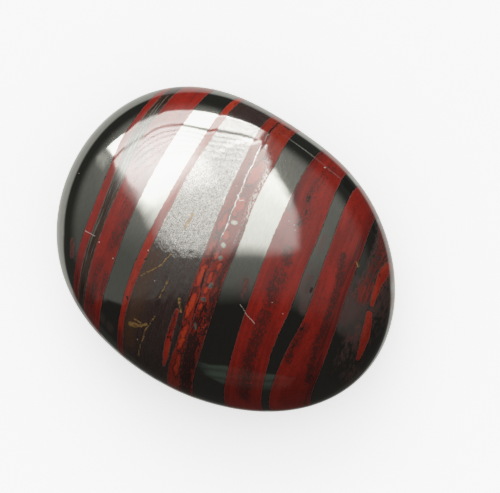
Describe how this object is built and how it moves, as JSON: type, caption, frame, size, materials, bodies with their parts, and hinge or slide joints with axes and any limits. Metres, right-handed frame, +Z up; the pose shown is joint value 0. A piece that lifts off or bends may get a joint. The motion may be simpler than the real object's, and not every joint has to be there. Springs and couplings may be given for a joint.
{
  "type": "polished mugglestone pebble",
  "caption": "Tumbled, polished oval stone of banded hematite, red jasper and tiger's eye, resting on a small flat spot on its underside.",
  "frame": {"origin": "on the level of the small flat spot that the stone rests on, under the middle of the stone", "axes": "+X along the stone's length, towards its narrower end; +Y across it; +Z up, through its thickness"},
  "size_m": [0.0378, 0.0302, 0.018],
  "materials": {
    "polished_stone": "polished"
  },
  "bodies": {
    "root": {"mugglestone": "polished_stone"}
  },
  "joints": []
}
